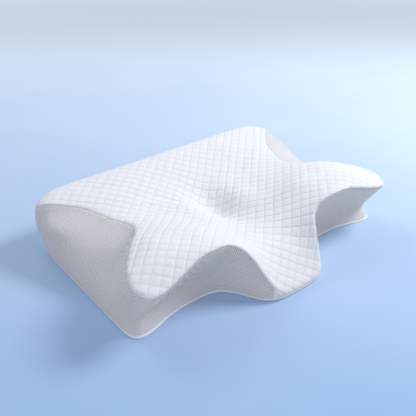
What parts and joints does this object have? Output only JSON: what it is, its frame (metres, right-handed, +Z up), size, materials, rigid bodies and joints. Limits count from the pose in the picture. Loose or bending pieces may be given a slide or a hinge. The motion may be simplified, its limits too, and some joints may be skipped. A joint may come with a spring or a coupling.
{
  "type": "contoured cervical pillow",
  "caption": "Butterfly-shaped contoured memory-foam neck pillow with a diamond-quilted white top, grey mesh side panels and a zipped removable cover.",
  "frame": {"origin": "on the resting face, on the centre line, near the middle of the pillow", "axes": "+X along the width, +Y towards the straight back edge, -Y towards the nose, +Z up from the resting face"},
  "size_m": [0.6228, 0.4558, 0.1264],
  "materials": {
    "white_knit": "soft quilted knit, matt with a faint sheen",
    "wadding": "fluffy fibre",
    "backing_cloth": "plain thin cloth",
    "grey_air_mesh": "spacer mesh with small open cells",
    "white_binding": "woven binding",
    "bottom_cloth": "plain knit",
    "inner_case_cloth": "thin stretch knit",
    "memory_foam": "open-cell foam",
    "zip_tape": "woven tape",
    "zip_coil": "nylon",
    "zip_metal": "white enamel",
    "label_satin": "blank satin"
  },
  "bodies": {
    "cushion": {"quilt_face": "white_knit", "quilt_wadding": "wadding", "quilt_backing": "backing_cloth", "side_panel_left": "grey_air_mesh", "side_panel_right": "grey_air_mesh", "base_binding": "white_binding", "bottom_panel": "bottom_cloth", "liner_top": "inner_case_cloth", "liner_bottom": "inner_case_cloth", "foam_core": "memory_foam", "zip_tape_upper": "zip_tape", "zip_tape_lower": "zip_tape", "zip_coil_upper": "zip_coil", "zip_coil_lower": "zip_coil", "zip_top_stops": "zip_metal", "zip_bottom_stop": "zip_metal", "care_label": "label_satin"},
    "zip_slider_body": {"zip_slider": "zip_metal"},
    "zip_pull_body": {"zip_pull_tab": "zip_metal"}
  },
  "joints": [
    {"name": "zip_slide", "type": "slide", "parent": "cushion", "child": "zip_slider_body", "axis": [1, 0, 0], "range_m": [0, 0.43]},
    {"name": "pull_swing", "type": "hinge", "parent": "zip_slider_body", "child": "zip_pull_body", "pos_m": [-0.215, 0.17082, 0.01328], "axis": [0, 0.7474, 0.6644], "range_deg": [0, 180]}
  ]
}
